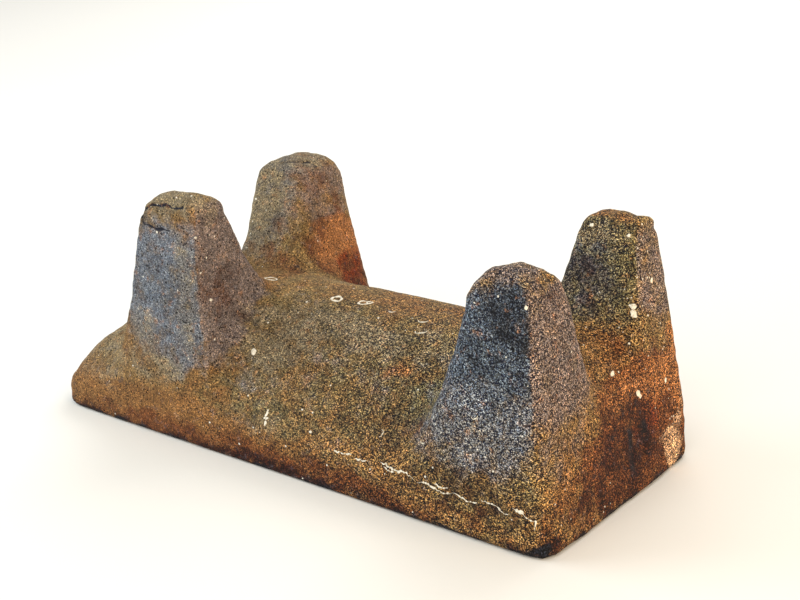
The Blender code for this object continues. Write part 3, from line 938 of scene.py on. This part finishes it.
def ring_grid(skin, centre, radius, stretch, turn, start, end, width, height):
    """A flat tube round an ellipse or part of one, with a wavering radius."""
    foot, side, up, out = skin_seat(skin, centre)
    angle = np.radians(np.linspace(start, end, RING_STEPS))
    waver = 1.0 + 0.08 * np.sin(3 * angle + turn) + 0.05 * np.sin(5 * angle)
    lengthwise = radius * MM * stretch * waver * np.cos(angle)
    across = radius * MM * waver * np.sin(angle)
    tilt = math.radians(turn)
    x = lengthwise * math.cos(tilt) - across * math.sin(tilt)
    y = lengthwise * math.sin(tilt) + across * math.cos(tilt)
    line = foot + x[:, None] * side + y[:, None] * up
    outward = line - foot
    outward /= np.linalg.norm(outward, axis=1)[:, None]
    open_ends = end - start < 360
    taper = np.ones(RING_STEPS)
    if open_ends:
        taper = np.sin(np.linspace(0.0, np.pi, RING_STEPS)) ** 0.4
    half = 0.5 * width * MM * taper * (0.85 + 0.3 * np.sin(4 * angle + 1.0))
    round_turn = np.linspace(0.0, 2 * np.pi, TUBE_SIDES, endpoint=False)
    return (line[:, None] + outward[:, None] * (half[:, None] * np.cos(round_turn))[..., None]
            + out * ((height * taper)[:, None] * np.sin(round_turn))[..., None])


def spot_grid(skin, centre, radius, stretch, turn, seed, unevenness, height):
    """A flat cake: a noisy outline times a power of a polar angle's sine, and a height times its cosine."""
    foot, side, up, out = skin_seat(skin, centre)
    around = np.linspace(0.0, 2 * np.pi, SPOT_SIDES, endpoint=False)
    polar = np.linspace(0.0, np.pi, SPOT_ROWS)
    key = np.stack([np.cos(around), np.sin(around), np.full(SPOT_SIDES, turn + seed)], axis=1)
    fray = unevenness * smooth_noise(key, 0.9, seed) + 0.25 * smooth_noise(key, 0.35, 9)
    outline = radius * MM * (1.0 + fray)
    tilt = math.radians(turn)
    lengthwise = outline * stretch * np.cos(around)
    across = outline * np.sin(around)
    x = lengthwise * math.cos(tilt) - across * math.sin(tilt)
    y = lengthwise * math.sin(tilt) + across * math.cos(tilt)
    spread = np.sin(polar) ** 0.6
    return (foot + (spread[:, None] * x)[..., None] * side + (spread[:, None] * y)[..., None] * up
            + (height * np.cos(polar))[:, None, None] * out)


def add_crust(context, name, make_grid, rows):
    """Makes one crust piece that rides with the stone: a grid from each row of a table."""
    skin = bpy.data.objects[SKIN]
    height = context.scene.stone_settings.crust_height
    grids = [make_grid(skin, *row, height) for row in rows]
    material = bpy.data.materials.get("lime_crust") or lime_material(context.scene.patina_settings)
    piece = link(name, crust_mesh(name, grids), material)
    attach(piece, BODY)


class STONE_OT_strands(bpy.types.Operator):
    """Lays the broken white strand along the front wall"""
    bl_idname = "grinding_stone.strands"
    bl_label = "White strands"

    def execute(self, context):
        rows = [(*strand, seed) for seed, strand in enumerate(STRANDS)]
        add_crust(context, "lime_strands", strand_grid, rows)
        return {"FINISHED"}


class STONE_OT_rings(bpy.types.Operator):
    """Lays the rings and arcs that worm tubes left"""
    bl_idname = "grinding_stone.rings"
    bl_label = "Lime rings"

    def execute(self, context):
        add_crust(context, "lime_rings", ring_grid, RINGS)
        return {"FINISHED"}


class STONE_OT_spots(bpy.types.Operator):
    """Lays the spots of lime crust"""
    bl_idname = "grinding_stone.spots"
    bl_label = "Lime spots"

    def execute(self, context):
        add_crust(context, "lime_spots", spot_grid, SPOTS)
        return {"FINISHED"}


def soft_light(name, place, aim, size, power, colour):
    """A square area light at one place, turned toward another."""
    data = bpy.data.lights.new(name, "AREA")
    data.shape = "SQUARE"
    data.size = size
    data.energy = power
    data.color = colour
    light = bpy.data.objects.new(name, data)
    light.location = place
    light.rotation_euler = (Vector(aim) - Vector(place)).to_track_quat("-Z", "Y").to_euler()
    bpy.context.scene.collection.objects.link(light)


def place_camera(studio):
    """Sets the camera from its place, turn, dip and roll."""
    data = bpy.data.cameras.new("camera")
    data.sensor_width = 36.0
    data.lens = studio.focal_length
    data.clip_start = 0.01
    camera = bpy.data.objects.new("camera", data)
    turned = Matrix.Rotation(studio.camera_turn, 4, "Z")
    dipped = Matrix.Rotation(math.pi / 2 - studio.camera_dip, 4, "X")
    rolled = Matrix.Rotation(studio.camera_roll, 4, "Z")
    camera.matrix_world = Matrix.Translation(studio.camera_place) @ turned @ dipped @ rolled
    bpy.context.scene.collection.objects.link(camera)
    bpy.context.scene.camera = camera


class STONE_OT_stage(bpy.types.Operator):
    """Sets the pale floor, the white surround, the soft lights and the camera"""
    bl_idname = "grinding_stone.stage"
    bl_label = "Studio"

    def execute(self, context):
        studio = context.scene.studio_settings
        context.scene.view_settings.view_transform = "Standard"
        mesh = bpy.data.meshes.new("floor")
        reach = 6.0
        corners = [(-reach, -reach, 0.0), (reach, -reach, 0.0), (reach, reach, 0.0), (-reach, reach, 0.0)]
        mesh.from_pydata(corners, [], [(0, 1, 2, 3)])
        link("floor", mesh, card_material(studio))
        world = bpy.data.worlds.new("white_surround")
        world.use_nodes = True
        tree = world.node_tree
        tree.nodes.clear()
        dome = add_node(tree, "ShaderNodeBackground", None,
                        {"Color": (1.0, 1.0, 1.0, 1.0), "Strength": studio.dome_strength})
        add_node(tree, "ShaderNodeOutputWorld", None, {"Surface": dome.outputs["Background"]})
        context.scene.world = world
        aim = (0.0, 0.0, 0.05)
        soft_light("cool_left", (-0.9, -0.5, 0.7), aim, 0.8, studio.left_power, (0.8, 0.91, 1.0))
        soft_light("warm_right", (1.1, -0.1, 0.42), aim, 0.8, studio.right_power, (1.0, 0.70, 0.40))
        soft_light("front_fill", (0.2, -1.1, 0.8), aim, 0.9, studio.front_power, (1.0, 0.96, 0.88))
        soft_light("back_wash", (-0.4, 1.6, 1.2), (-0.3, 1.0, 0.0), 1.6, studio.back_power, (1.0, 1.0, 1.0))
        place_camera(studio)
        return {"FINISHED"}


class STONE_PT_panel(bpy.types.Panel):
    """Lists the settings and the steps of the grinding stone"""
    bl_label = "Grinding stone"
    bl_space_type = "VIEW_3D"
    bl_region_type = "UI"
    bl_category = "Grinding Stone"

    def draw(self, context):
        for group in (context.scene.stone_settings, context.scene.patina_settings,
                      context.scene.studio_settings):
            box = self.layout.box()
            for name in group.__annotations__:
                box.prop(group, name)
        for step in STEPS:
            self.layout.operator(step.bl_idname)


STEPS = (STONE_OT_skin, STONE_OT_strands, STONE_OT_rings, STONE_OT_spots, STONE_OT_stage)
CLASSES = (StoneSettings, PatinaSettings, StudioSettings, *STEPS, STONE_PT_panel)


def register():
    """Registers the classes and puts the settings on the scene."""
    for cls in CLASSES:
        bpy.utils.register_class(cls)
    bpy.types.Scene.stone_settings = bpy.props.PointerProperty(type=StoneSettings)
    bpy.types.Scene.patina_settings = bpy.props.PointerProperty(type=PatinaSettings)
    bpy.types.Scene.studio_settings = bpy.props.PointerProperty(type=StudioSettings)


def unregister():
    """Takes the settings off the scene and unregisters the classes."""
    del bpy.types.Scene.studio_settings
    del bpy.types.Scene.patina_settings
    del bpy.types.Scene.stone_settings
    for cls in reversed(CLASSES):
        bpy.utils.unregister_class(cls)


def main():
    """Runs the steps in order."""
    register()
    bpy.ops.grinding_stone.skin()
    bpy.ops.grinding_stone.strands()
    bpy.ops.grinding_stone.rings()
    bpy.ops.grinding_stone.spots()
    bpy.ops.grinding_stone.stage()


if __name__ == "__main__":
    main()
